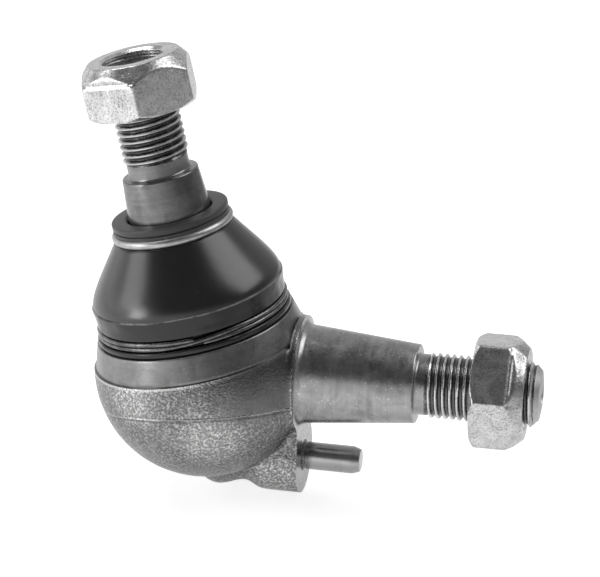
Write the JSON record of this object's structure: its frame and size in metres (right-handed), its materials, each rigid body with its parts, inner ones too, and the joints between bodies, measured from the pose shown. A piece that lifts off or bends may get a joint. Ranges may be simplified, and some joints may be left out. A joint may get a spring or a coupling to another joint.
{
  "type": "suspension ball joint",
  "caption": "Lower suspension ball joint: forged steel housing with a tapered bolt-on shank and dowel, swivelling tapered stud in a black dust boot, zinc-plated lock nuts.",
  "frame": {"origin": "where the shank's axis meets the machined flange face", "axes": "+X runs out of the flange face along the shank; +Z is square to it, on the ball stud's side; the socket and the resting stud lean 12 degrees from +Z towards -X; +Y completes a right-handed frame"},
  "size_m": [0.0983, 0.048, 0.0975],
  "materials": {
    "forged_steel": "phosphated forging, rough skin with turned land and satin taper",
    "dowel_steel": "ground and oiled",
    "seat_plastic": "natural white",
    "ring_steel": "plain turned steel",
    "stud_steel": "dark phosphated, satin",
    "boot_rubber": "semi-gloss black",
    "upper_ring_steel": "bright wire",
    "lower_ring_steel": "black spring wire",
    "nut_zinc": "bright zinc plate"
  },
  "bodies": {
    "housing": {"housing": "forged_steel", "dowel_pin": "dowel_steel", "closing_ring": "ring_steel", "boot_lower_ring": "lower_ring_steel"},
    "seat": {"bearing_seat": "seat_plastic", "dust_boot": "boot_rubber"},
    "boot_top": {"boot_upper_ring": "upper_ring_steel"},
    "stud": {"ball_stud": "stud_steel"},
    "stud_nut": {"stud_nut": "nut_zinc"},
    "shank_nut": {"shank_nut": "nut_zinc"}
  },
  "joints": [
    {"name": "swing_direction", "type": "hinge", "parent": "housing", "child": "seat", "pos_m": [-0.0218, 0, 0], "axis": [-0.2079, 0, 0.9781], "continuous": true},
    {"name": "stud_swing", "type": "hinge", "parent": "seat", "child": "boot_top", "pos_m": [-0.0218, 0, 0], "axis": [0, 1, 0], "range_deg": [-22, 22], "deforming": ["dust_boot"]},
    {"name": "stud_spin", "type": "hinge", "parent": "boot_top", "child": "stud", "pos_m": [-0.0218, 0, 0], "axis": [-0.2079, 0, 0.9781], "continuous": true},
    {"name": "stud_nut_turn", "type": "hinge", "parent": "stud", "child": "stud_nut", "pos_m": [-0.03504, 0, 0.06231], "axis": [-0.2079, 0, 0.9781], "continuous": true},
    {"name": "shank_nut_turn", "type": "hinge", "parent": "housing", "child": "shank_nut", "pos_m": [0.0423, 0, 0], "axis": [1, 0, 0], "continuous": true}
  ]
}
